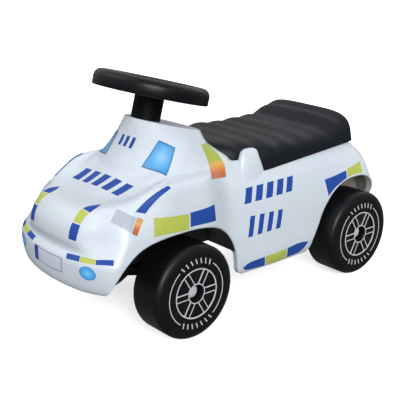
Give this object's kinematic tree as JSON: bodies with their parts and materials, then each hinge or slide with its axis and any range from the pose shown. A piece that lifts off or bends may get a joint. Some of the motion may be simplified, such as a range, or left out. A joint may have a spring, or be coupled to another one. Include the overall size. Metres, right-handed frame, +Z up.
{
  "type": "ride-on toy car",
  "caption": "Toddler's foot-pushed ride-on car: moulded white shell, ribbed black saddle, raked steering wheel that turns the front axle, and free-rolling wheels.",
  "frame": {"origin": "on the ground under the middle of the car", "axes": "+X to the driver's left, +Y to the rear, +Z up; the car faces -Y"},
  "size_m": [0.279, 0.6028, 0.3721],
  "materials": {
    "white_plastic": "satin",
    "seat_plastic": "grained",
    "black_plastic": "satin",
    "wheel_plastic": "satin",
    "cap_plastic": "satin",
    "natural_plastic": "matte",
    "steel": "zinc plated"
  },
  "bodies": {
    "body": {"body_shell": "white_plastic", "front_liner": "black_plastic", "seat": "seat_plastic", "seat_screws": "steel", "upper_bush": "natural_plastic", "lower_bush": "natural_plastic", "thrust_washer": "steel", "rear_axle": "steel", "rear_left_axle_bush": "natural_plastic", "rear_right_axle_bush": "natural_plastic", "rear_left_axle_cap": "cap_plastic", "rear_right_axle_cap": "cap_plastic"},
    "steering": {"steering_wheel": "black_plastic", "steering_screw": "steel", "steering_column": "black_plastic", "steering_shaft": "steel", "axle_carrier": "black_plastic", "carrier_pin": "steel", "front_axle": "steel", "front_left_axle_bush": "natural_plastic", "front_right_axle_bush": "natural_plastic", "front_left_axle_cap": "cap_plastic", "front_right_axle_cap": "cap_plastic"},
    "front_left_road_wheel": {"front_left_wheel": "wheel_plastic", "front_left_wheel_bush": "natural_plastic"},
    "front_right_road_wheel": {"front_right_wheel": "wheel_plastic", "front_right_wheel_bush": "natural_plastic"},
    "rear_left_road_wheel": {"rear_left_wheel": "wheel_plastic", "rear_left_wheel_bush": "natural_plastic"},
    "rear_right_road_wheel": {"rear_right_wheel": "wheel_plastic", "rear_right_wheel_bush": "natural_plastic"}
  },
  "joints": [
    {"name": "steer", "type": "hinge", "parent": "body", "child": "steering", "pos_m": [0, -0.124, 0.296], "axis": [0, 0.2672, 0.9636], "range_deg": [-18, 18]},
    {"name": "front_left_spin", "type": "hinge", "parent": "steering", "child": "front_left_road_wheel", "pos_m": [0, -0.144, 0.071], "axis": [1, 0, 0], "continuous": true},
    {"name": "front_right_spin", "type": "hinge", "parent": "steering", "child": "front_right_road_wheel", "pos_m": [0, -0.144, 0.071], "axis": [1, 0, 0], "continuous": true},
    {"name": "rear_left_spin", "type": "hinge", "parent": "body", "child": "rear_left_road_wheel", "pos_m": [0, 0.216, 0.071], "axis": [1, 0, 0], "continuous": true},
    {"name": "rear_right_spin", "type": "hinge", "parent": "body", "child": "rear_right_road_wheel", "pos_m": [0, 0.216, 0.071], "axis": [1, 0, 0], "continuous": true}
  ]
}
